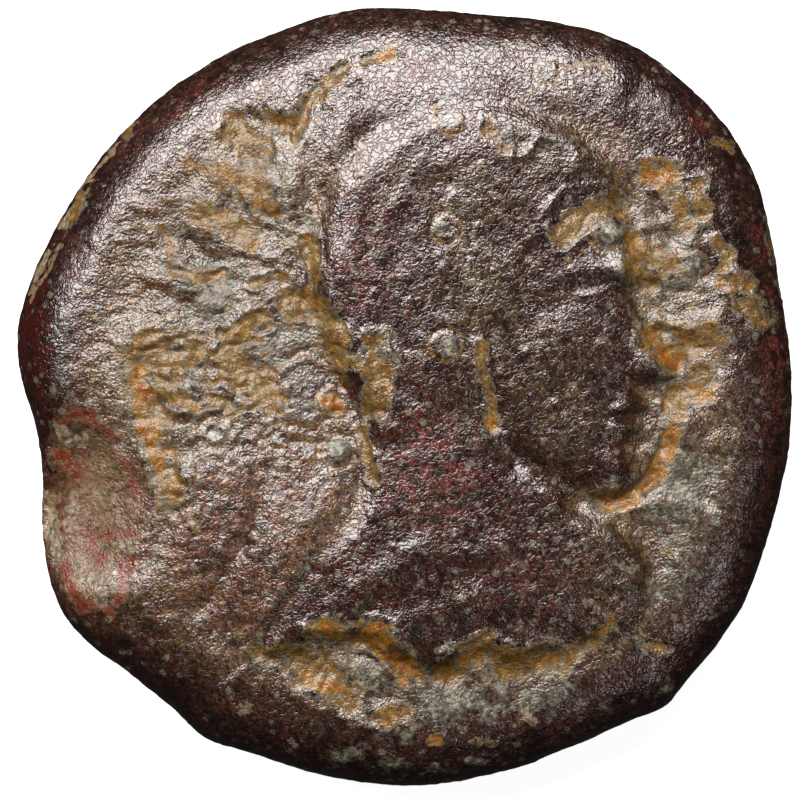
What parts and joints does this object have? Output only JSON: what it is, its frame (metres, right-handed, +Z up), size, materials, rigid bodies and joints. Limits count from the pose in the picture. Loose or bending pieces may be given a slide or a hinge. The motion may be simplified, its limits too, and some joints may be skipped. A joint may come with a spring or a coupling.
{
  "type": "ancient lead coin",
  "caption": "Thick worn lead coin with a bust in profile, a band of shallow strokes and a chipped, uneven edge.",
  "frame": {"origin": "under the middle of the coin's box, on the worn underside that it rests on", "axes": "+Z up out of the portrait side, +Y towards the top of the portrait, +X towards the way the portrait faces"},
  "size_m": [0.02, 0.0202, 0.0039],
  "materials": {
    "corroded_lead": null
  },
  "bodies": {
    "root": {"coin": "corroded_lead"}
  },
  "joints": []
}
